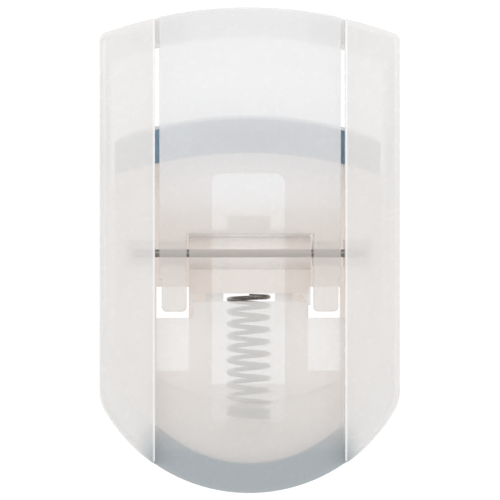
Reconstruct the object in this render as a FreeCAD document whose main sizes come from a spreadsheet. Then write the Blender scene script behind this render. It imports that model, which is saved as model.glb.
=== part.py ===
import FreeCAD, Part
import Sketcher
import math
import os

# Folding pocket eyelash curler: a flat case whose lever cover swings out on a cross pin. Two tails on the
# lever reach back through windows in a sliding carriage and lift its lower jaw against the fixed clear
# upper jaw.
#
# Frame: the curler lies on its back. +X runs to the right along the jaws, +Y from the rounded end up to the
# jaws, and +Z out of the back towards the lever cover. The origin is the middle of the back plane.

Vector = FreeCAD.Vector

# Driving dimensions in millimetres. A rise or drop lies along Y, a height or depth along Z.
dimensions = {
    # case
    "case_width": 38.0,
    "case_length": 61.4,
    "case_depth": 13.0,
    "rear_depth": 5.2,
    "case_wall": 1.3,
    "strip_thickness": 1.3,
    "strip_edge_radius": 0.25,
    "end_wall": 3.75,
    "top_arc_radius": 54.0,
    "end_arc_radius": 21.2,
    "cavity_arc_inset": 0.9,
    "cavity_step": 2.0,
    "top_corner_radius": 1.1,
    "end_corner_radius": 5.0,
    "rim_radius": 1.0,
    "channel_width": 24.0,
    "panel_sink": 1.9,
    "panel_thickness": 1.2,
    "panel_drop": 8.2,
    "panel_weld": 1.0,
    "ridge_thickness": 0.9,
    "thumb_arc_radius": 23.7,
    "thumb_arc_drop": 18.85,
    "thumb_sink": 0.25,
    # hinge
    "pin_rise": -0.32,
    "pin_height": 10.6,
    "pin_diameter": 1.0,
    "pin_length": 29.6,
    "pin_play": 0.03,
    "pin_chamfer": 0.15,
    "knuckle_radius": 2.1,
    "knuckle_width": 15.4,
    "knuckle_play": 0.3,
    "ear_width": 3.4,
    "ear_radius": 1.7,
    # tongue, boss and web
    "slot_drop": 5.1,
    "slot_height": 1.0,
    "slot_head_width": 12.7,
    "slot_foot_width": 14.4,
    "rib_thickness": 2.2,
    "rib_spacing": 8.8,
    "rib_depth": 1.3,
    "boss_width": 5.4,
    "boss_rise": 4.8,
    "boss_height": 3.9,
    "web_rise": 3.0,
    "neck_width": 14.4,
    "neck_gap": 0.5,
    # lever cover
    "lever_play": 0.55,
    "lever_thickness": 1.3,
    "tail_length": 7.35,
    "tail_corner_radius": 0.6,
    "tail_inset": 0.3,
    "tail_inset_drop": 3.3,
    "eye_radius": 1.6,
    "hinge_bar_rise": 5.3,
    "hinge_bar_depth": 0.8,
    "hinge_bar_inset": 0.45,
    "lever_edge_radius": 0.3,
    # carriage
    "plate_thickness": 1.4,
    "slide_play": 0.15,
    "side_play": 0.5,
    "end_play": 0.3,
    "spring_window_width": 9.4,
    "spring_window_rise": 10.26,
    "spring_window_drop": 21.8,
    "window_corner_radius": 1.2,
    "tail_window_drop": 4.3,
    "tail_window_length": 10.8,
    "tail_window_play": 0.35,
    "saddle_thickness": 1.6,
    "seat_diameter": 5.8,
    "seat_thickness": 0.6,
    "seat_root": 1.0,
    "post_diameter": 3.6,
    "post_length": 2.0,
    "gate_mark_diameter": 2.0,
    "gate_mark_height": 0.15,
    "gate_mark_gap": 1.9,
    "guide_thickness": 1.2,
    "guide_lip": 2.6,
    "guide_length": 25.0,
    "guide_gap": 0.5,
    "back_thickness": 1.2,
    # jaws
    "stroke": 6.0,
    "bite_gap": 0.1,
    "jaw_radius": 31.0,
    "jaw_crest": 9.2,
    "jaw_depth": 2.8,
    "edge_arc_radius": 54.7,
    "channel_rise": 16.8,
    "channel_height": 4.3,
    "steel_thickness": 0.4,
    "pad_proud": 0.45,
    "pad_play": 0.03,
    "blade_height": 4.05,
    "blade_thickness": 1.4,
    # spring
    "spring_diameter": 5.7,
    "wire_diameter": 0.6,
    "spring_play": 0.25,
    "working_coils": 9,
    "foot_coils": 1.5,
    "head_coils": 0.75,
    "coil_play": 0.02,
    "seat_play": 0.05,
    # how far a cutting solid runs past what it cuts
    "overrun": 2.0,
}

doc = FreeCAD.newDocument("eyelash_curler")
sheet = doc.addObject("Spreadsheet::Sheet", "Dims")
for row, (alias, size) in enumerate(dimensions.items(), start=1):
    sheet.set(f"A{row}", alias)
    sheet.set(f"B{row}", str(size))
    sheet.setAlias(f"B{row}", alias)
doc.recompute()

# Derived places, written as expressions in the sheet's own names.
halfWidth = "Dims.case_width / 2"
top = "Dims.case_length / 2"
endCentre = f"(Dims.end_arc_radius - {top})"
halfCavity = f"({halfWidth} - Dims.case_wall)"
halfPlate = f"({halfCavity} - Dims.side_play)"
halfChannel = "Dims.channel_width / 2"
halfLever = f"({halfChannel} - Dims.lever_play)"
halfKnuckle = "Dims.knuckle_width / 2"
lugInner = f"({halfKnuckle} + Dims.knuckle_play)"
cavityRadius = f"({halfCavity} - Dims.cavity_arc_inset)"
cavityCentre = f"({cavityRadius} + Dims.end_wall - {top})"
cavityStep = f"({cavityCentre} - Dims.cavity_step)"
stripFloor = "(Dims.case_depth - Dims.strip_thickness)"
panelFront = "(Dims.case_depth - Dims.panel_sink)"
panelFloor = f"({panelFront} - Dims.panel_thickness)"
springHeight = f"({panelFloor} - Dims.spring_play - Dims.spring_diameter / 2)"
panelEdge = "(Dims.pin_rise - Dims.panel_drop)"
bossFoot = "(Dims.pin_rise - Dims.slot_drop)"
leverFloor = "(Dims.case_depth - Dims.lever_thickness)"
notchEdge = "(Dims.pin_rise + Dims.knuckle_radius + Dims.knuckle_play)"
plateFloor = "(Dims.rear_depth + Dims.slide_play)"
plateFront = f"({plateFloor} + Dims.plate_thickness)"
windowFoot = "(Dims.pin_rise - Dims.spring_window_drop)"
seatTop = f"({windowFoot} + Dims.seat_thickness)"
tailWindowTop = "(Dims.pin_rise - Dims.tail_window_drop)"
jawCentre = "(Dims.jaw_crest - Dims.jaw_radius)"
jawBack = "(Dims.jaw_radius - Dims.jaw_depth)"
saddleTop = "(Dims.channel_rise - Dims.channel_height)"
saddleFoot = f"({saddleTop} - Dims.saddle_thickness)"
bladeEdge = "(Dims.channel_rise + Dims.pad_proud + Dims.stroke + Dims.bite_gap)"
beamFoot = f"({bladeEdge} + Dims.blade_height)"
pinBore = "(Dims.pin_diameter / 2 + Dims.pin_play)"


def sideOf(crown, radius, half):
    """Rise, at half a span from the middle, of an arc about Z that crowns at a rise."""
    return f"({crown} - {radius} + sqrt({radius} ^ 2 - ({half}) ^ 2))"


guideTop = f"({sideOf(saddleFoot, 'Dims.edge_arc_radius', halfPlate)} - Dims.guide_gap)"
guideFoot = f"({guideTop} - Dims.guide_length)"


def value(expression):
    return float(sheet.evalExpression(expression))


def bind(solid, **expressions):
    for name, expression in expressions.items():
        solid.setExpression(name, expression)
    return solid


# Part primitives and booleans, each bound to the sheet.


def box(name, x, y, z):
    """A box between two places on each axis."""
    solid = doc.addObject("Part::Box", name)
    for axis, side, (low, high) in zip("xyz", ("Length", "Width", "Height"), (x, y, z)):
        solid.setExpression(f"Placement.Base.{axis}", low)
        solid.setExpression(side, f"({high}) - ({low})")
    return solid


def rod(name, axis, radius, middle, span):
    """A cylinder along an axis. The middle holds its place on the other two axes in XYZ order."""
    solid = doc.addObject("Part::Cylinder", name)
    turn = {"x": FreeCAD.Rotation(Vector(0, 1, 0), 90), "y": FreeCAD.Rotation(Vector(1, 0, 0), -90)}
    solid.Placement = FreeCAD.Placement(Vector(), turn.get(axis, FreeCAD.Rotation()))
    places = dict(zip([other for other in "xyz" if other != axis], middle))
    places[axis] = span[0]
    for place, expression in places.items():
        solid.setExpression(f"Placement.Base.{place}", expression)
    return bind(solid, Radius=radius, Height=f"({span[1]}) - ({span[0]})")


def fuse(name, *solids):
    joined = doc.addObject("Part::MultiFuse", name)
    joined.Shapes = list(solids)
    return joined


def common(name, *solids):
    shared = doc.addObject("Part::MultiCommon", name)
    shared.Shapes = list(solids)
    return shared


def cut(name, base, *tools):
    """The base less every tool."""
    remainder = doc.addObject("Part::Cut", name)
    remainder.Base = base
    remainder.Tool = tools[0] if len(tools) == 1 else fuse(f"{name}_tools", *tools)
    return remainder


# Sketched bodies. A corner is (x, y), or (x, y, radius, bulge) where the run on to the next corner is an arc
# that bulges out of the outline (1) or into it (-1). Corners go round anticlockwise.

alongNormal = {"XY_Plane": 1, "XZ_Plane": -1, "YZ_Plane": 1}


def drawOutline(sketch, corners):
    places = [Vector(value(corner[0]), value(corner[1]), 0) for corner in corners]
    for index, corner in enumerate(corners):
        start, end = places[index], places[(index + 1) % len(corners)]
        if len(corner) == 2:
            sketch.addGeometry(Part.LineSegment(start, end), False)
            continue
        chord = end - start
        radius = value(corner[2])
        sagitta = radius - math.sqrt(radius**2 - (chord.Length / 2) ** 2)
        outward = Vector(chord.y, -chord.x, 0).normalize() * corner[3]
        sketch.addGeometry(Part.Arc(start, (start + end) * 0.5 + outward * sagitta, end), False)

    def pointAt(run, place):
        return min((1, 2), key=lambda point: sketch.getPoint(run, point).distanceToPoint(place))

    for index, corner in enumerate(corners):
        place, before = places[index], (index - 1) % len(corners)
        here = pointAt(index, place)
        sketch.addConstraint(Sketcher.Constraint("Coincident", before, pointAt(before, place), index, here))
        for direction, size, expression in (
            ("DistanceX", place.x, corner[0]), ("DistanceY", place.y, corner[1])
        ):
            held = sketch.addConstraint(Sketcher.Constraint(direction, index, here, size))
            sketch.setExpression(f"Constraints[{held}]", expression)
        if len(corner) > 2:
            held = sketch.addConstraint(Sketcher.Constraint("Radius", index, value(corner[2])))
            sketch.setExpression(f"Constraints[{held}]", corner[2])


def feature(body, kind, name, plane, corners, low, high):
    """A Pad or Pocket of an outline between two places along the plane's axis."""
    if alongNormal[plane] < 0:
        low, high = f"-({high})", f"-({low})"
    sketch = body.newObject("Sketcher::SketchObject", f"{name}_sketch")
    origin = next(item for item in body.Origin.OriginFeatures if item.Role == plane)
    sketch.AttachmentSupport = [(origin, "")]
    sketch.MapMode = "FlatFace"
    sketch.setExpression("AttachmentOffset.Base.z", low if kind == "Pad" else high)
    drawOutline(sketch, corners)
    made = body.newObject(f"PartDesign::{kind}", name)
    made.Profile = sketch
    bind(made, Length=f"({high}) - ({low})")
    doc.recompute()
    return made


def rounded(body, name, base, radius, test):
    """A fillet on the edges of a body's last feature that pass a test."""
    fillet = body.newObject("PartDesign::Fillet", name)
    edges = [f"Edge{number}" for number, edge in enumerate(base.Shape.Edges, start=1) if test(edge)]
    fillet.Base = (base, edges)
    fillet.setExpression("Radius", radius)
    doc.recompute()
    return fillet


def upright(edge):
    """True for a straight edge along Z."""
    low, high = edge.Vertexes[0].Point, edge.Vertexes[-1].Point
    return math.hypot(high.x - low.x, high.y - low.y) < closeness < abs(high.z - low.z)


def level(edge, height):
    """True for an edge that lies at one height."""
    bounds = edge.BoundBox
    return max(abs(bounds.ZMin - height), abs(bounds.ZMax - height)) < closeness


closeness = 1e-4


# The curved band that all the jaw pieces share: bowed out of the back about Y and arched about Z.


def arch(name, crown, floor, ceiling):
    """A cylinder about Z whose crown reaches a rise."""
    middle = ("0", f"{crown} - Dims.edge_arc_radius")
    return rod(name, "z", "Dims.edge_arc_radius", middle, (floor, ceiling))


def bow(name, radius, foot, head):
    return rod(name, "y", radius, ("0", jawCentre), (foot, head))


def jawBand(name, back, front, foot, head, half):
    """The piece of the curved band between two radii and two arched edges."""
    low, high = f"{foot} - {halfWidth}", f"{head} + Dims.overrun"
    ring = cut(
        f"{name}_ring",
        bow(f"{name}_front", front, low, high),
        bow(f"{name}_back", back, f"{low} - Dims.overrun", f"{high} + Dims.overrun"),
    )
    reach = box(f"{name}_reach", (f"-({half})", half), (low, high), ("-Dims.overrun", "Dims.case_depth"))
    above = arch(f"{name}_head", head, "-Dims.overrun", "Dims.case_depth")
    below = arch(f"{name}_foot", foot, "-2 * Dims.overrun", "Dims.case_depth + Dims.overrun")
    return cut(name, common(f"{name}_arched", ring, reach, above), below)


def caseOutline():
    sideFoot = f"({endCentre} - sqrt(Dims.end_arc_radius ^ 2 - ({halfWidth}) ^ 2))"
    sideTop = sideOf(top, "Dims.top_arc_radius", halfWidth)
    return [
        (f"-{halfWidth}", sideFoot, "Dims.end_arc_radius", 1),
        (halfWidth, sideFoot),
        (halfWidth, sideTop, "Dims.top_arc_radius", 1),
        (f"-{halfWidth}", sideTop),
    ]


def cavityOutline():
    side = sideOf(beamFoot, "Dims.edge_arc_radius", halfCavity)
    halfEnd = f"sqrt({cavityRadius} ^ 2 - Dims.cavity_step ^ 2)"
    return [
        (f"-{halfEnd}", cavityStep, cavityRadius, 1),
        (halfEnd, cavityStep),
        (halfCavity, cavityStep),
        (halfCavity, side, "Dims.edge_arc_radius", 1),
        (f"-{halfCavity}", side),
        (f"-{halfCavity}", cavityStep),
    ]


def rectangle(left, right, foot, head):
    return [(left, foot), (right, foot), (right, head), (left, head)]


def caseBlock(body, low, high, rimHeight):
    """The case's outline as a block with rounded corners and one rounded rim."""
    block = feature(body, "Pad", f"{body.Name}_block", "XY_Plane", caseOutline(), low, high)
    upper = rounded(
        body, f"{body.Name}_top_corners", block, "Dims.top_corner_radius",
        lambda edge: upright(edge) and edge.CenterOfMass.y > 0,
    )
    lower = rounded(
        body, f"{body.Name}_end_corners", upper, "Dims.end_corner_radius",
        lambda edge: upright(edge) and edge.CenterOfMass.y < 0
        and abs(edge.CenterOfMass.x) > value(halfWidth) - closeness,
    )
    rounded(body, f"{body.Name}_rim", lower, "Dims.rim_radius", lambda edge: level(edge, value(rimHeight)))


def frontShell():
    body = doc.addObject("PartDesign::Body", "shell_body")
    caseBlock(body, "Dims.rear_depth", "Dims.case_depth", "Dims.case_depth")
    feature(body, "Pocket", "shell_cavity", "XY_Plane", cavityOutline(), "Dims.rear_depth", stripFloor)
    channel = rectangle(f"-{halfChannel}", halfChannel, f"-{top} - Dims.overrun", f"{top} + Dims.overrun")
    opened = feature(
        body, "Pocket", "lever_channel", "XY_Plane", channel, panelFront, "Dims.case_depth + Dims.overrun"
    )
    rounded(
        body, "strip_edges", opened, "Dims.strip_edge_radius",
        lambda edge: level(edge, value("Dims.case_depth")) and edge.BoundBox.XLength < closeness
        and abs(abs(edge.CenterOfMass.x) - value(halfChannel)) < closeness,
    )

    halfPanel = f"({halfChannel} + Dims.ridge_thickness)"
    weldRadius = f"({cavityRadius} + Dims.panel_weld)"
    panelSide = f"({cavityCentre} - sqrt({weldRadius} ^ 2 - {halfPanel} ^ 2))"
    panel = [
        (f"-{halfPanel}", panelSide, weldRadius, 1),
        (halfPanel, panelSide),
        (halfPanel, panelEdge),
        (f"-{halfPanel}", panelEdge),
    ]
    feature(body, "Pad", "thumb_panel", "XY_Plane", panel, panelFloor, panelFront)
    for side, left, right in (
        ("left", f"-{halfPanel}", f"-{halfChannel}"), ("right", halfChannel, halfPanel)
    ):
        ridge = rectangle(left, right, panelSide, panelEdge)
        feature(body, "Pad", f"{side}_ridge", "XY_Plane", ridge, panelFloor, stripFloor)
    thumbCrown = "(Dims.pin_rise - Dims.thumb_arc_drop)"
    thumbRise = f"(Dims.thumb_arc_radius - sqrt(Dims.thumb_arc_radius ^ 2 - ({halfChannel}) ^ 2))"
    thumbSide = f"({thumbCrown} + {thumbRise})"
    thumbRest = [
        (f"-{halfChannel}", f"-{top} - Dims.overrun"),
        (halfChannel, f"-{top} - Dims.overrun"),
        (halfChannel, thumbSide, "Dims.thumb_arc_radius", -1),
        (f"-{halfChannel}", thumbSide),
    ]
    feature(
        body, "Pocket", "thumb_rest", "XY_Plane", thumbRest,
        f"{panelFront} - Dims.thumb_sink", f"{panelFront} + Dims.overrun",
    )
    slotFoot = f"({bossFoot} - Dims.slot_height)"
    neckTop = f"({slotFoot} - Dims.neck_gap)"
    tongue = [
        ("-Dims.neck_width / 2", f"{panelEdge} - Dims.panel_weld"),
        ("Dims.neck_width / 2", f"{panelEdge} - Dims.panel_weld"),
        ("Dims.neck_width / 2", neckTop),
        (halfKnuckle, neckTop),
        (halfKnuckle, "Dims.pin_rise"),
        (f"-{halfKnuckle}", "Dims.pin_rise"),
        (f"-{halfKnuckle}", neckTop),
        ("-Dims.neck_width / 2", neckTop),
    ]
    feature(body, "Pad", "tongue", "XY_Plane", tongue, panelFloor, panelFront)
    slot = [
        ("-Dims.slot_foot_width / 2", slotFoot),
        ("Dims.slot_foot_width / 2", slotFoot),
        ("Dims.slot_head_width / 2", bossFoot),
        ("-Dims.slot_head_width / 2", bossFoot),
    ]
    feature(body, "Pocket", "tongue_slot", "XY_Plane", slot, panelFloor, panelFront)

    pinPlace = ("Dims.pin_rise", "Dims.pin_height")
    parts = [body, rod("knuckle", "x", "Dims.knuckle_radius", pinPlace, (f"-{halfKnuckle}", halfKnuckle))]
    for side, sign in (("left", "-1"), ("right", "1")):
        middle = f"{sign} * ({halfChannel} + Dims.ear_width / 2)"
        parts.append(box(
            f"{side}_ear", (f"{middle} - Dims.ear_width / 2", f"{middle} + Dims.ear_width / 2"),
            ("Dims.pin_rise - Dims.ear_radius", "Dims.pin_rise + Dims.ear_radius"),
            ("Dims.pin_height - Dims.ear_radius", stripFloor),
        ))
        ribMiddle = f"{sign} * Dims.rib_spacing / 2"
        parts.append(box(
            f"{side}_rib", (f"{ribMiddle} - Dims.rib_thickness / 2", f"{ribMiddle} + Dims.rib_thickness / 2"),
            (f"{panelEdge} - Dims.panel_weld", "Dims.pin_rise"),
            (f"{panelFloor} - Dims.rib_depth", panelFloor),
        ))
    parts.append(box(
        "knuckle_web", (f"-{halfKnuckle}", halfKnuckle), ("Dims.pin_rise", "Dims.pin_rise + Dims.web_rise"),
        (f"{panelFloor} - Dims.rib_depth", panelFloor),
    ))
    parts.append(box(
        "boss", ("-Dims.boss_width / 2", "Dims.boss_width / 2"), (bossFoot, "Dims.pin_rise + Dims.boss_rise"),
        ("Dims.boss_height", panelFloor),
    ))
    halfBore = "(Dims.pin_length / 2 + Dims.pin_play)"
    bore = rod("shell_bore", "x", pinBore, pinPlace, (f"-{halfBore}", halfBore))
    scoop = bow("shell_scoop", jawBack, guideTop, f"{top} + Dims.overrun")
    return cut("front_shell", fuse("shell_joined", *parts), bore, scoop)


def rearFrame():
    body = doc.addObject("PartDesign::Body", "rear_body")
    caseBlock(body, "0", "Dims.rear_depth", "0")
    feature(
        body, "Pocket", "rear_cavity", "XY_Plane", cavityOutline(), "Dims.back_thickness", "Dims.rear_depth"
    )
    side = sideOf(beamFoot, "Dims.edge_arc_radius", halfCavity)
    window = [
        (f"-{halfCavity}", guideFoot),
        (halfCavity, guideFoot),
        (halfCavity, side, "Dims.edge_arc_radius", 1),
        (f"-{halfCavity}", side),
    ]
    feature(body, "Pocket", "back_window", "XY_Plane", window, "0", "Dims.back_thickness")
    lips = []
    inner, outer = f"({halfCavity} - Dims.guide_lip)", f"({halfWidth} - Dims.case_wall / 2)"
    for name, span in (("left", (f"-{outer}", f"-{inner}")), ("right", (inner, outer))):
        lips.append(box(
            f"{name}_guide_lip", span, (guideFoot, guideTop),
            ("Dims.rear_depth - Dims.guide_thickness", "Dims.rear_depth"),
        ))
    scoop = bow("rear_scoop", jawBack, guideTop, f"{top} + Dims.overrun")
    return cut("rear_frame", fuse("rear_joined", body, *lips), scoop)


def carriage():
    body = doc.addObject("PartDesign::Body", "carriage_plate")
    endRadius = f"({cavityRadius} - Dims.end_play)"
    side = sideOf(saddleTop, "Dims.edge_arc_radius", halfPlate)
    halfEnd = f"sqrt({endRadius} ^ 2 - (Dims.cavity_step - Dims.end_play) ^ 2)"
    plateStep = f"({cavityStep} + Dims.end_play)"
    plate = [
        (f"-{halfEnd}", plateStep, endRadius, 1),
        (halfEnd, plateStep),
        (halfPlate, plateStep),
        (halfPlate, side, "Dims.edge_arc_radius", 1),
        (f"-{halfPlate}", side),
        (f"-{halfPlate}", plateStep),
    ]
    feature(body, "Pad", "plate", "XY_Plane", plate, plateFloor, plateFront)
    halfWindow = "Dims.spring_window_width / 2"
    windowTop = "(Dims.pin_rise + Dims.spring_window_rise)"
    window = rectangle(f"-{halfWindow}", halfWindow, windowFoot, windowTop)
    feature(body, "Pocket", "spring_window", "XY_Plane", window, plateFloor, plateFront)
    tailInner, tailOuter = f"({lugInner} - Dims.tail_window_play)", f"({halfLever} + Dims.tail_window_play)"
    tailFoot = f"({tailWindowTop} - Dims.tail_window_length)"
    for name, left, right in (
        ("left_tail_window", f"-{tailOuter}", f"-{tailInner}"), ("right_tail_window", tailInner, tailOuter)
    ):
        tailWindow = rectangle(left, right, tailFoot, tailWindowTop)
        last = feature(body, "Pocket", name, "XY_Plane", tailWindow, plateFloor, plateFront)
    rounded(
        body, "window_corners", last, "Dims.window_corner_radius",
        lambda edge: upright(edge) and abs(abs(edge.CenterOfMass.x) - value(halfWindow)) < closeness,
    )
    shelf = cut(
        "saddle_profile",
        fuse(
            "saddle_depth",
            box("saddle_block", (f"-{halfPlate}", halfPlate), (guideTop, "Dims.channel_rise"),
                ("0", plateFront)),
            common(
                "saddle_bow",
                bow("saddle_front", "Dims.jaw_radius", guideTop, "Dims.channel_rise"),
                box("saddle_reach", (f"-{halfPlate}", halfPlate), (guideTop, "Dims.channel_rise"),
                    ("0", "Dims.case_depth")),
            ),
        ),
        bow("saddle_back", jawBack, f"{guideTop} - Dims.overrun", "Dims.channel_rise + Dims.overrun"),
    )
    archHead = arch("saddle_head", saddleTop, "-Dims.overrun", "Dims.case_depth")
    archFoot = arch("saddle_foot", saddleFoot, "-2 * Dims.overrun", "Dims.case_depth + Dims.overrun")
    saddle = cut("saddle", common("saddle_arched", shelf, archHead), archFoot)
    axis = ("0", springHeight)
    seatFoot = f"({windowFoot} - Dims.seat_root)"
    seat = rod("spring_seat", "y", "Dims.seat_diameter / 2", axis, (seatFoot, seatTop))
    post = rod("spring_post", "y", "Dims.post_diameter / 2", axis, (seatTop, f"{seatTop} + Dims.post_length"))
    markRise = f"({cavityCentre} - {endRadius} + Dims.gate_mark_gap)"
    mark = rod(
        "gate_mark", "z", "Dims.gate_mark_diameter / 2", ("0", markRise),
        (plateFront, f"{plateFront} + Dims.gate_mark_height"),
    )
    return fuse("carriage", body, saddle, seat, post, mark)


def lowerJaw():
    channel = jawBand("channel", jawBack, "Dims.jaw_radius", saddleTop, "Dims.channel_rise", halfPlate)
    groove = jawBand(
        "groove", f"{jawBack} + Dims.steel_thickness", "Dims.jaw_radius - Dims.steel_thickness",
        f"({saddleTop} + Dims.steel_thickness)", "(Dims.channel_rise + Dims.overrun)",
        f"{halfPlate} + Dims.overrun",
    )
    return cut("lower_jaw", channel, groove)


def siliconePad():
    inset = "(Dims.steel_thickness + Dims.pad_play)"
    return jawBand(
        "silicone_pad", f"{jawBack} + {inset}", f"Dims.jaw_radius - {inset}", f"({saddleTop} + {inset})",
        "(Dims.channel_rise + Dims.pad_proud)", f"{halfPlate} - Dims.steel_thickness",
    )


def upperJaw():
    middle = "(Dims.jaw_radius - Dims.jaw_depth / 2)"
    return jawBand(
        "upper_jaw", f"{middle} - Dims.blade_thickness / 2", f"{middle} + Dims.blade_thickness / 2",
        bladeEdge, beamFoot, halfPlate,
    )


def leverCover():
    body = doc.addObject("PartDesign::Body", "lever_plate")
    tailFoot = "(Dims.pin_rise - Dims.tail_length)"
    insetTop = "(Dims.pin_rise - Dims.tail_inset_drop)"
    tailOuter = f"({halfLever} - Dims.tail_inset)"
    side = sideOf(top, "Dims.top_arc_radius", halfLever)
    plate = [
        (f"-{tailOuter}", tailFoot),
        (f"-{lugInner}", tailFoot),
        (f"-{lugInner}", notchEdge),
        (lugInner, notchEdge),
        (lugInner, tailFoot),
        (tailOuter, tailFoot),
        (tailOuter, insetTop),
        (halfLever, insetTop),
        (halfLever, side, "Dims.top_arc_radius", 1),
        (f"-{halfLever}", side),
        (f"-{halfLever}", insetTop),
        (f"-{tailOuter}", insetTop),
    ]
    base = feature(body, "Pad", "cover", "XY_Plane", plate, leverFloor, "Dims.case_depth")
    tails = rounded(
        body, "tail_corners", base, "Dims.tail_corner_radius",
        lambda edge: upright(edge) and abs(edge.CenterOfMass.y - value(tailFoot)) < closeness,
    )
    rounded(
        body, "soft_edge", tails, "Dims.lever_edge_radius", lambda edge: level(edge, value("Dims.case_depth"))
    )
    halfBar = f"({halfLever} - Dims.hinge_bar_inset)"
    bar = rectangle(f"-{halfBar}", halfBar, notchEdge, "Dims.pin_rise + Dims.hinge_bar_rise")
    feature(body, "Pad", "hinge_bar", "XY_Plane", bar, f"{leverFloor} - Dims.hinge_bar_depth", leverFloor)
    pinPlace = ("Dims.pin_rise", "Dims.pin_height")
    eyes = [
        rod("left_eye", "x", "Dims.eye_radius", pinPlace, (f"-{halfLever}", f"-{lugInner}")),
        rod("right_eye", "x", "Dims.eye_radius", pinPlace, (lugInner, halfLever)),
    ]
    bore = rod("lever_bore", "x", pinBore, pinPlace, (f"-{halfWidth}", halfWidth))
    return cut("lever_cover", fuse("lever_joined", body, *eyes), bore)


def hingePin():
    body = doc.addObject("PartDesign::Body", "hinge_pin")
    sketch = body.newObject("Sketcher::SketchObject", "pin_section")
    origin = next(item for item in body.Origin.OriginFeatures if item.Role == "YZ_Plane")
    sketch.AttachmentSupport = [(origin, "")]
    sketch.MapMode = "FlatFace"
    sketch.setExpression("AttachmentOffset.Base.z", "-Dims.pin_length / 2")
    middle = Vector(value("Dims.pin_rise"), value("Dims.pin_height"), 0)
    sketch.addGeometry(Part.Circle(middle, Vector(0, 0, 1), value("Dims.pin_diameter") / 2), False)
    for kind, point, size, expression in (
        ("DistanceX", 3, middle.x, "Dims.pin_rise"), ("DistanceY", 3, middle.y, "Dims.pin_height")
    ):
        held = sketch.addConstraint(Sketcher.Constraint(kind, 0, point, size))
        sketch.setExpression(f"Constraints[{held}]", expression)
    held = sketch.addConstraint(Sketcher.Constraint("Radius", 0, value("Dims.pin_diameter") / 2))
    sketch.setExpression(f"Constraints[{held}]", "Dims.pin_diameter / 2")
    shaft = body.newObject("PartDesign::Pad", "pin_shaft")
    shaft.Profile = sketch
    bind(shaft, Length="Dims.pin_length")
    doc.recompute()
    ends = body.newObject("PartDesign::Chamfer", "pin_ends")
    circles = [
        f"Edge{number}" for number, edge in enumerate(shaft.Shape.Edges, start=1)
        if edge.BoundBox.XLength < closeness
    ]
    ends.Base = (shaft, circles)
    bind(ends, Size="Dims.pin_chamfer")
    return body


def returnSpring():
    """A round wire coil along Y with closed coils at both ends, wound left-handed."""
    radius = value("(Dims.spring_diameter - Dims.wire_diameter) / 2")
    wire = value("Dims.wire_diameter / 2")
    foot = value(f"{seatTop} + Dims.seat_play") + wire
    head = value(f"{bossFoot} - Dims.seat_play") - wire
    closedPitch = value("Dims.wire_diameter + Dims.coil_play")
    closed = closedPitch * value("Dims.foot_coils + Dims.head_coils")
    pitch = (head - foot - closed) / value("Dims.working_coils")
    coils, start, turned = [], 0, 0
    for step, turns in (
        (closedPitch, value("Dims.foot_coils")), (pitch, value("Dims.working_coils")),
        (closedPitch, value("Dims.head_coils")),
    ):
        angle = math.radians(turned * 360)
        run = Part.makeHelix(step, step * turns, radius)
        run.rotate(Vector(), Vector(0, 0, 1), math.degrees(angle))
        run.translate(Vector(0, 0, start))
        middle = Vector(radius * math.cos(angle), radius * math.sin(angle), start)
        along = Vector(-math.sin(angle), math.cos(angle), 0)
        sweep = Part.BRepOffsetAPI.MakePipeShell(Part.Wire(run.Edges))
        sweep.setBiNormalMode(Vector(0, 0, 1))
        sweep.add(Part.Wire(Part.makeCircle(wire, middle, along)))
        sweep.build()
        sweep.makeSolid()
        coils.append(sweep.shape())
        start += step * turns
        turned += turns
    spring = doc.addObject("Part::Feature", "return_spring")
    rightHanded = coils[0].multiFuse(coils[1:]).Solids[0]
    spring.Shape = rightHanded.mirror(Vector(), Vector(0, 1, 0))
    turn = FreeCAD.Rotation(Vector(1, 0, 0), -90)
    spring.Placement = FreeCAD.Placement(Vector(0, foot, value(springHeight)), turn)
    return spring


nodes = {
    "front_shell": frontShell(),
    "rear_frame": rearFrame(),
    "upper_jaw": upperJaw(),
    "hinge_pin": hingePin(),
    "lever_cover": leverCover(),
    "carriage": carriage(),
    "lower_jaw": lowerJaw(),
    "silicone_pad": siliconePad(),
    "return_spring": returnSpring(),
}
doc.recompute()

for item in doc.Objects:
    if "Invalid" in item.State or "Error" in item.State:
        raise RuntimeError(f"{item.Name} failed: {item.State}")
for label, node in nodes.items():
    node.Label = label
    if node.Shape.isNull() or not node.Shape.isValid() or len(node.Shape.Solids) != 1:
        raise RuntimeError(f"{label} is not one valid solid")

os.makedirs("parts", exist_ok=True)
for label, node in nodes.items():
    node.Shape.exportStep(os.path.join("parts", f"{label}.step"))
    print(label, round(node.Shape.Volume, 2))
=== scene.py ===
import math
import bmesh
import bpy
from mathutils import Matrix, Vector


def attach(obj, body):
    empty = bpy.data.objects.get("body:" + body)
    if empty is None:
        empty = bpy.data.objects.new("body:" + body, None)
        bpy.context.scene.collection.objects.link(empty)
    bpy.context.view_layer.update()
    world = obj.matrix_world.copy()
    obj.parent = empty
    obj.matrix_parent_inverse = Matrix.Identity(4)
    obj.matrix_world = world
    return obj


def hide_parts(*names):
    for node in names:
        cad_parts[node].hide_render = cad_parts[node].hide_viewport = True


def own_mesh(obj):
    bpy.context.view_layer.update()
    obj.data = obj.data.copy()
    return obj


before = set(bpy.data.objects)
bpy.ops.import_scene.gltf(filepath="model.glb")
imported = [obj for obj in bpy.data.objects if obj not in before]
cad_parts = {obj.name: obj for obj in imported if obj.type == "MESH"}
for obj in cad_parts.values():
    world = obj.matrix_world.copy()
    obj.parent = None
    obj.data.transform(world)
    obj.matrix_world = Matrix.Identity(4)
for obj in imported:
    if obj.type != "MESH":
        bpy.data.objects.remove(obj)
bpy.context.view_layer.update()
print("frame loaded", sorted(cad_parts))

mm = 0.001
noiseRange = (0.3, 0.7)  # where most of a noise's values lie
mixSockets = {"first": 6, "second": 7, "result": 2}  # the colour sockets of a mix node


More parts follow.
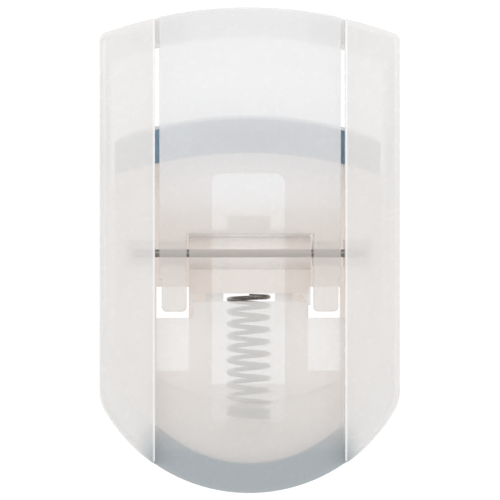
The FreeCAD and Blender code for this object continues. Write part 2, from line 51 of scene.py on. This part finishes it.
def newMaterial(name):
    material = bpy.data.materials.new(name)
    material.use_nodes = True
    tree = material.node_tree
    return material, tree, tree.nodes["Principled BSDF"]


def addNode(tree, kind, **settings):
    # a setting is the node's own, or else the value of its input of that name
    node = tree.nodes.new(kind)
    for key, setting in settings.items():
        if hasattr(node, key):
            setattr(node, key, setting)
        else:
            node.inputs[key].default_value = setting
    return node


def objectPlace(tree, scale=(1, 1, 1)):
    # object coordinates in metres, stretched
    place = addNode(tree, "ShaderNodeTexCoord")
    mapping = addNode(tree, "ShaderNodeMapping")
    mapping.inputs["Scale"].default_value = scale
    tree.links.new(place.outputs["Object"], mapping.inputs["Vector"])
    return mapping.outputs["Vector"]


def placeAxis(tree, axis):
    place = addNode(tree, "ShaderNodeTexCoord").outputs["Object"]
    parts = addNode(tree, "ShaderNodeSeparateXYZ")
    tree.links.new(place, parts.inputs["Vector"])
    return parts.outputs[axis]


def noise(tree, vector, scale, detail=3.0, roughness=0.5):
    texture = addNode(tree, "ShaderNodeTexNoise", Scale=scale, Detail=detail, Roughness=roughness)
    tree.links.new(vector, texture.inputs["Vector"])
    return texture.outputs["Fac"]


def spread(tree, value, low, high):
    # a noise stretched between two numbers
    ranged = addNode(tree, "ShaderNodeMapRange")
    ranged.inputs["From Min"].default_value = noiseRange[0]
    ranged.inputs["From Max"].default_value = noiseRange[1]
    ranged.inputs["To Min"].default_value = low
    ranged.inputs["To Max"].default_value = high
    tree.links.new(value, ranged.inputs["Value"])
    return ranged.outputs["Result"]


def ramp(tree, value, low, high):
    # 0 to 1 with soft ends between two places
    ranged = addNode(tree, "ShaderNodeMapRange", interpolation_type="SMOOTHSTEP")
    ranged.inputs["From Min"].default_value = low
    ranged.inputs["From Max"].default_value = high
    tree.links.new(value, ranged.inputs["Value"])
    return ranged.outputs["Result"]


def maths(tree, operation, first, second=None):
    node = addNode(tree, "ShaderNodeMath", operation=operation)
    for socket, value in zip(node.inputs, (first, second)):
        if isinstance(value, (int, float)):
            socket.default_value = value
        elif value is not None:
            tree.links.new(value, socket)
    return node.outputs["Value"]


def product(tree, first, *others):
    total = first
    for other in others:
        total = maths(tree, "MULTIPLY", total, other)
    return total


def reachFrom(tree, first, second):
    # distance from an axis, by the two places across it
    squares = maths(tree, "ADD", maths(tree, "POWER", first, 2), maths(tree, "POWER", second, 2))
    return maths(tree, "SQRT", squares)


def mixColour(tree, factor, first, second):
    mix = addNode(tree, "ShaderNodeMix", data_type="RGBA")
    tree.links.new(factor, mix.inputs["Factor"])
    for name, colour in (("first", first), ("second", second)):
        socket = mix.inputs[mixSockets[name]]
        if isinstance(colour, tuple):
            socket.default_value = (*colour, 1)
        else:
            tree.links.new(colour, socket)
    return mix.outputs[mixSockets["result"]]


def addBump(tree, shader, height, strength, distance):
    bump = addNode(tree, "ShaderNodeBump")
    bump.inputs["Strength"].default_value = strength
    bump.inputs["Distance"].default_value = distance
    tree.links.new(height, bump.inputs["Height"])
    tree.links.new(bump.outputs["Normal"], shader.inputs["Normal"])


# the panel in the channel is thinner than the side strips, and the end wall is solid; the painted
# shade on the end wall and the painted highlight on the channel's edges are made more solid too
channelAlpha = {
    "inside": 0.45,
    "half": (11.85 * mm, 11.97 * mm),
    "wallShadeExtra": 0.5,
    "edgeHighlightExtra": 0.3,
    "most": 0.9,
}


def stripMask(tree):
    # 1 on the side strips, outside the channel
    return ramp(tree, maths(tree, "ABSOLUTE", placeAxis(tree, "X")), *channelAlpha["half"])


# painted shade: the deep wall round the case's end is painted blue grey in the channel, for the shade
# seen through its thick plastic, and fades out under the side strips
endWallShade = {
    "colour": (0.45, 0.49, 0.51),
    "centreRise": -10.15 * mm,
    "radius": (16.65 * mm, 16.95 * mm),
    "half": (11.8 * mm, 14.8 * mm),
    "drop": (21.0 * mm, 26.0 * mm),
}


def endWallShadeMask(tree):
    across = placeAxis(tree, "X")
    along = maths(tree, "SUBTRACT", placeAxis(tree, "Y"), endWallShade["centreRise"])
    ring = ramp(tree, reachFrom(tree, across, along), *endWallShade["radius"])
    inside = maths(tree, "SUBTRACT", 1, ramp(tree, maths(tree, "ABSOLUTE", across), *endWallShade["half"]))
    low = ramp(tree, maths(tree, "MULTIPLY", placeAxis(tree, "Y"), -1), *endWallShade["drop"])
    return product(tree, ring, inside, low)


# painted shadow and painted highlight: the bore's faces hug the steel pin and are painted dark as its
# shadow, less dark where the pin's upper side catches the light
boreShade = {
    "colour": (0.24, 0.24, 0.23),
    "centre": (-0.32 * mm, 10.6 * mm),
    "radius": (0.56 * mm, 0.7 * mm),
    "lit": (0.5 * mm, -0.15 * mm),
    "litDepth": 0.7,
    "leastDepth": 0.3,
}


def boreShadeMask(tree):
    rise, height = boreShade["centre"]
    along = maths(tree, "SUBTRACT", placeAxis(tree, "Y"), rise)
    high = maths(tree, "SUBTRACT", placeAxis(tree, "Z"), height)
    near, far = boreShade["radius"]
    tint = ramp(tree, reachFrom(tree, along, high), far, near)
    lit = maths(tree, "MULTIPLY", ramp(tree, along, *boreShade["lit"]), boreShade["litDepth"])
    shade = maths(tree, "ADD", lit, boreShade["leastDepth"])
    return product(tree, tint, shade, maths(tree, "SUBTRACT", 1, stripMask(tree)))


# painted shade: the boss and knuckle are solid, so less light comes through and the plastic is painted
# deeper and warmer there
bossShade = {
    "colour": (0.82, 0.765, 0.725),
    "half": (7.75 * mm, 7.6 * mm),
    "foot": (-5.6 * mm, -5.3 * mm),
    "head": (2.0 * mm, 1.2 * mm),
}


def bossShadeMask(tree):
    near = ramp(tree, maths(tree, "ABSOLUTE", placeAxis(tree, "X")), *bossShade["half"])
    foot = ramp(tree, placeAxis(tree, "Y"), *bossShade["foot"])
    head = ramp(tree, placeAxis(tree, "Y"), *bossShade["head"])
    return product(tree, near, foot, head)


# painted highlight: the rounded edges along both sides of the channel are painted bright
stripEdgeHighlight = {
    "colour": (0.97, 0.97, 0.965),
    "half": (12.08 * mm, 12.35 * mm),
    "height": (12.3 * mm, 12.6 * mm),
}


def edgeHighlightMask(tree):
    inner, outer = stripEdgeHighlight["half"]
    near = ramp(tree, maths(tree, "ABSOLUTE", placeAxis(tree, "X")), outer, inner)
    high = ramp(tree, placeAxis(tree, "Z"), *stripEdgeHighlight["height"])
    return product(tree, near, stripMask(tree), high)


# painted shade: the lever is painted a little darker towards its tails
tailShade = {"colour": (0.80, 0.765, 0.735), "rise": (9.0 * mm, 1.0 * mm)}


def tailShadeMask(tree):
    return ramp(tree, placeAxis(tree, "Y"), *tailShade["rise"])


caseLook = {
    "colour": (0.88, 0.87, 0.86),
    "cloud": (0.87, 0.855, 0.845),
    "alpha": 0.61,
    "glow": 0.15,
    "roughness": (0.2, 0.3),
    "ior": 1.49,
    "cloudSize": 90,
    "grainSize": 700,
    "grainDetail": 2.0,
    "grainBump": 0.1,
    "grainDepth": 0.006 * mm,
}
leverLook = dict(caseLook, colour=(0.87, 0.87, 0.88), cloud=(0.86, 0.86, 0.868), alpha=0.47)
backLook = dict(caseLook, alpha=0.2, glow=0.45)
carriageLook = dict(
    caseLook, colour=(0.90, 0.83, 0.78), cloud=(0.89, 0.82, 0.765), alpha=0.42, glow=0.4
)
bladeLook = dict(
    caseLook, colour=(0.93, 0.94, 0.945), cloud=(0.91, 0.92, 0.925),
    alpha=0.06, glow=0.01, roughness=(0.06, 0.1),
)
padLook = dict(
    caseLook, colour=(0.9, 0.91, 0.92), cloud=(0.86, 0.87, 0.88), alpha=0.4, roughness=(0.4, 0.5)
)


def wallAlpha(tree, look, edge):
    # how solid each part of the case looks, with edge the mask of the painted highlight
    spanned = maths(tree, "MULTIPLY", stripMask(tree), look["alpha"] - channelAlpha["inside"])
    # the painted shade on the end wall is also made more solid
    solid = maths(tree, "MULTIPLY", endWallShadeMask(tree), channelAlpha["wallShadeExtra"])
    total = maths(tree, "ADD", maths(tree, "ADD", spanned, channelAlpha["inside"]), solid)
    # the painted highlight is made more solid
    total = maths(tree, "ADD", total, maths(tree, "MULTIPLY", edge, channelAlpha["edgeHighlightExtra"]))
    return maths(tree, "MINIMUM", total, channelAlpha["most"])


def makePlastic(name, look, walled=False, boreShaded=False, tailShaded=False):
    material, tree, shader = newMaterial(name)
    place = objectPlace(tree)
    colour = mixColour(tree, noise(tree, place, look["cloudSize"]), look["colour"], look["cloud"])
    if walled:
        # painted shade on the end wall, blue grey
        colour = mixColour(tree, endWallShadeMask(tree), colour, endWallShade["colour"])
        # painted shade over the solid boss and knuckle
        colour = mixColour(tree, bossShadeMask(tree), colour, bossShade["colour"])
    if tailShaded:
        # painted shade towards the lever's tails
        colour = mixColour(tree, tailShadeMask(tree), colour, tailShade["colour"])
    if boreShaded:
        # painted shadow round the pin, with a painted highlight on its upper side
        colour = mixColour(tree, boreShadeMask(tree), colour, boreShade["colour"])
    shader.inputs["Alpha"].default_value = look["alpha"]
    if walled:
        # painted highlight along the channel's edges
        edge = edgeHighlightMask(tree)
        colour = mixColour(tree, edge, colour, stripEdgeHighlight["colour"])
        tree.links.new(wallAlpha(tree, look, edge), shader.inputs["Alpha"])
    tree.links.new(colour, shader.inputs["Base Color"])
    grain = noise(tree, place, look["grainSize"], look["grainDetail"])
    tree.links.new(spread(tree, grain, *look["roughness"]), shader.inputs["Roughness"])
    addBump(tree, shader, grain, look["grainBump"], look["grainDepth"])
    shader.inputs["IOR"].default_value = look["ior"]
    glow = addNode(tree, "ShaderNodeBsdfTranslucent")
    blend = addNode(tree, "ShaderNodeMixShader")
    blend.inputs["Fac"].default_value = look["glow"]
    tree.links.new(colour, glow.inputs["Color"])
    tree.links.new(shader.outputs["BSDF"], blend.inputs[1])
    tree.links.new(glow.outputs["BSDF"], blend.inputs[2])
    tree.links.new(blend.outputs["Shader"], tree.nodes["Material Output"].inputs["Surface"])
    return material


jawSteel = {
    "colour": (0.22, 0.32, 0.41),
    "streak": (0.17, 0.26, 0.34),
    "roughness": (0.25, 0.4),
    "grain": (60, 60, 3000),
    "grainDetail": 4.0,
    "grainBump": 0.15,
    "grainDepth": 0.01 * mm,
}
pinSteel = dict(
    jawSteel, colour=(0.33, 0.32, 0.30), streak=(0.24, 0.23, 0.21), grain=(60, 2500, 2500)
)
wireSteel = dict(
    jawSteel, colour=(0.30, 0.29, 0.28), streak=(0.22, 0.21, 0.2),
    roughness=(0.18, 0.3), grain=(900, 900, 900),
)


def makeSteel(name, look):
    material, tree, shader = newMaterial(name)
    grain = noise(tree, objectPlace(tree, scale=look["grain"]), 1.0, look["grainDetail"])
    tree.links.new(mixColour(tree, grain, look["colour"], look["streak"]), shader.inputs["Base Color"])
    tree.links.new(spread(tree, grain, *look["roughness"]), shader.inputs["Roughness"])
    addBump(tree, shader, grain, look["grainBump"], look["grainDepth"])
    shader.inputs["Metallic"].default_value = 1.0
    return material


springWire = makeSteel("springWire", wireSteel)
finishes = {
    "front_shell": makePlastic("frostedCase", caseLook, walled=True, boreShaded=True),
    "rear_frame": makePlastic("frostedBack", backLook, walled=True),
    "lever_cover": makePlastic("frostedLever", leverLook, boreShaded=True, tailShaded=True),
    "carriage": makePlastic("frostedCarriage", carriageLook),
    "upper_jaw": makePlastic("clearBlade", bladeLook),
    "silicone_pad": makePlastic("lashPad", padLook),
    "lower_jaw": makeSteel("jawStrip", jawSteel),
    "hinge_pin": makeSteel("pinSteel", pinSteel),
    "return_spring": springWire,
}
for node, material in finishes.items():
    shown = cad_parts[node]
    shown.data.materials.clear()
    shown.data.materials.append(material)
print("finishes set")

coil = {
    "wire": 0.3 * mm,
    "radius": 2.55 * mm,
    "foot": -21.17 * mm,
    "head": -5.77 * mm,
    "height": 6.8 * mm,
    "closedPitch": 0.62 * mm,
    "turns": (1.5, 9, 0.75),
    "stepsPerTurn": 28,
    "wireSides": 12,
    "anchor": (0, -5.42 * mm, 6.8 * mm),
    "keep": 0.62,
}


def sweepCoil(mesh):
    # a ring of wire spun up the spring: closed turns, open turns, closed turns
    middle = Vector((0, coil["foot"], coil["height"]))
    start = Matrix.Translation(middle + Vector((coil["radius"], 0, 0)))
    ring = bmesh.ops.create_circle(
        mesh, cap_ends=False, radius=coil["wire"], segments=coil["wireSides"], matrix=start
    )
    edges = list({edge for vertex in ring["verts"] for edge in vertex.link_edges})
    geometry = ring["verts"] + edges
    bmesh.ops.contextual_create(mesh, geom=edges)
    footTurns, openTurns, headTurns = coil["turns"]
    closedPitch = coil["closedPitch"]
    openPitch = (coil["head"] - coil["foot"] - closedPitch * (footTurns + headTurns)) / openTurns
    for turns, pitch in ((footTurns, closedPitch), (openTurns, openPitch), (headTurns, closedPitch)):
        steps = round(turns * coil["stepsPerTurn"])
        swept = bmesh.ops.spin(
            mesh, geom=geometry, cent=middle, axis=(0, -1, 0), dvec=(0, pitch * turns / steps, 0),
            angle=math.radians(360 * turns), steps=steps, use_merge=False, use_duplicate=False,
        )
        geometry = swept["geom_last"]
    last = [edge for edge in geometry if isinstance(edge, bmesh.types.BMEdge)]
    bmesh.ops.contextual_create(mesh, geom=last)
    bmesh.ops.recalc_face_normals(mesh, faces=mesh.faces)


def makeSpring():
    mesh = bmesh.new()
    sweepCoil(mesh)
    for face in mesh.faces:
        face.smooth = len(face.verts) == 4  # the two end caps stay flat
    data = bpy.data.meshes.new("springCoil")
    mesh.to_mesh(data)
    mesh.free()
    spring = bpy.data.objects.new("springCoil", data)
    bpy.context.scene.collection.objects.link(spring)
    data.materials.append(springWire)
    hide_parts("return_spring")
    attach(spring, "case")
    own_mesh(spring)


makeSpring()
print("spring made")

paleTable = {"reach": 0.6, "below": 0.0002, "colour": 0.06, "roughness": 0.8, "light": 1.0}


def makeFloor():
    bpy.ops.mesh.primitive_plane_add(size=2 * paleTable["reach"], location=(0, 0, -paleTable["below"]))
    floor = bpy.context.object
    floor.name = "lightTable"
    material, tree, shader = newMaterial("paleTable")
    shader.inputs["Base Color"].default_value = (*[paleTable["colour"]] * 3, 1)
    shader.inputs["Roughness"].default_value = paleTable["roughness"]
    shader.inputs["Emission Color"].default_value = (1, 1, 1, 1)
    shader.inputs["Emission Strength"].default_value = paleTable["light"]
    floor.data.materials.append(material)


makeFloor()

cameraSetup = {
    "lens": 200,
    "sensor": 36,
    "width": 64.05 * mm,
    "yaw": 2.0,
    "centre": (0.17 * mm, 0.1 * mm, 7 * mm),
    "nearest": 0.01,
    "furthest": 10,
}


def makeCamera():
    data = bpy.data.cameras.new("camera")
    data.lens = cameraSetup["lens"]
    data.sensor_width = cameraSetup["sensor"]
    data.clip_start = cameraSetup["nearest"]
    data.clip_end = cameraSetup["furthest"]
    camera = bpy.data.objects.new("camera", data)
    bpy.context.scene.collection.objects.link(camera)
    distance = cameraSetup["width"] * data.lens / data.sensor_width
    yaw = math.radians(-cameraSetup["yaw"])
    camera.rotation_euler = (0, yaw, 0)
    away = Vector((math.sin(yaw), 0, math.cos(yaw)))
    camera.location = Vector(cameraSetup["centre"]) + away * distance
    bpy.context.scene.camera = camera


makeCamera()

# where each softbox stands, its width and length, and its power in watts
softboxes = {
    "softboxLeft": ((-0.3, 0.05, 0.28), (0.03, 0.3), 0.3),
    "softboxRight": ((0.32, 0.08, 0.24), (0.025, 0.3), 0.25),
    "softboxTop": ((0, 0.25, 0.45), (0.4, 0.2), 0.3),
}


def softLight(name, place, size, power):
    # a soft light that faces the origin
    data = bpy.data.lights.new(name, "AREA")
    data.shape = "RECTANGLE"
    data.size, data.size_y = size
    data.energy = power
    light = bpy.data.objects.new(name, data)
    bpy.context.scene.collection.objects.link(light)
    light.location = place
    light.rotation_mode = "QUATERNION"
    light.rotation_quaternion = (-Vector(place)).to_track_quat("-Z", "Y")


for name, (place, size, power) in softboxes.items():
    softLight(name, place, size, power)

studioLight = {"colour": (1, 1, 1, 1), "strength": 0.82}
world = bpy.data.worlds.new("studio")
bpy.context.scene.world = world
world.use_nodes = True
background = world.node_tree.nodes["Background"]
background.inputs["Color"].default_value = studioLight["colour"]
background.inputs["Strength"].default_value = studioLight["strength"]
bpy.context.scene.view_settings.view_transform = "Standard"
print("studio set")
